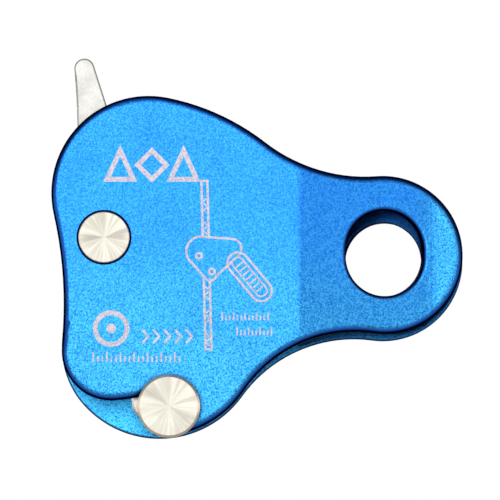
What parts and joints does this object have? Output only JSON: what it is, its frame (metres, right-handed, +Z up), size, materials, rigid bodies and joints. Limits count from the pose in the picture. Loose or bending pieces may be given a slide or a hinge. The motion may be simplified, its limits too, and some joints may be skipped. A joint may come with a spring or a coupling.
{
  "type": "rope grab ascender",
  "caption": "Two-plate rope grab with a swinging front plate, spring-loaded toothed cam, release lever, headed post and a round carabiner eye.",
  "frame": {"origin": "middle of the round carabiner eye in the rear plate, half way through its wall", "axes": "+X from the cam axle towards the carabiner eye's tip, +Y from the swing plate to the rear plate along every pin, +Z up the rope towards the lever's tab"},
  "size_m": [0.1092, 0.0282, 0.101],
  "materials": {
    "anodised_blue": "bead-blasted anodised aluminium, satin",
    "turned_steel": "finely turned stainless steel",
    "lever_steel": "tumbled stainless sheet",
    "cam_steel": "cast steel, ground",
    "washer_steel": "plain stainless washer",
    "bearing_bronze": "sintered bronze",
    "spring_wire": "drawn spring wire"
  },
  "bodies": {
    "frame_plate": {"axle_rear_washer": "washer_steel", "cam_axle": "turned_steel", "front_thrust_washer": "washer_steel", "post_front_washer": "washer_steel", "post_inner_washer": "washer_steel", "post_pin": "turned_steel", "post_rear_washer": "washer_steel", "post_sleeve": "cam_steel", "rear_plate": "anodised_blue", "rear_thrust_washer": "washer_steel", "stop_pin": "turned_steel", "swing_washer": "washer_steel", "torsion_spring": "spring_wire"},
    "swing_plate": {"front_plate": "anodised_blue", "swing_bush": "bearing_bronze"},
    "cam": {"rope_cam": "cam_steel", "cam_bushing": "bearing_bronze", "release_lever": "lever_steel", "lever_rivets": "turned_steel"}
  },
  "joints": [
    {"name": "swing_plate_hinge", "type": "hinge", "parent": "frame_plate", "child": "swing_plate", "pos_m": [-0.0742, -0.01247, 0.0059], "axis": [0, -1, 0], "range_deg": [0, 80]},
    {"name": "cam_pivot", "type": "hinge", "parent": "frame_plate", "child": "cam", "pos_m": [-0.0742, -0.00497, 0.0059], "axis": [0, 1, 0], "range_deg": [0, 26], "stiffness_Nm_per_rad": 0.08, "springref_deg": -45.84}
  ]
}
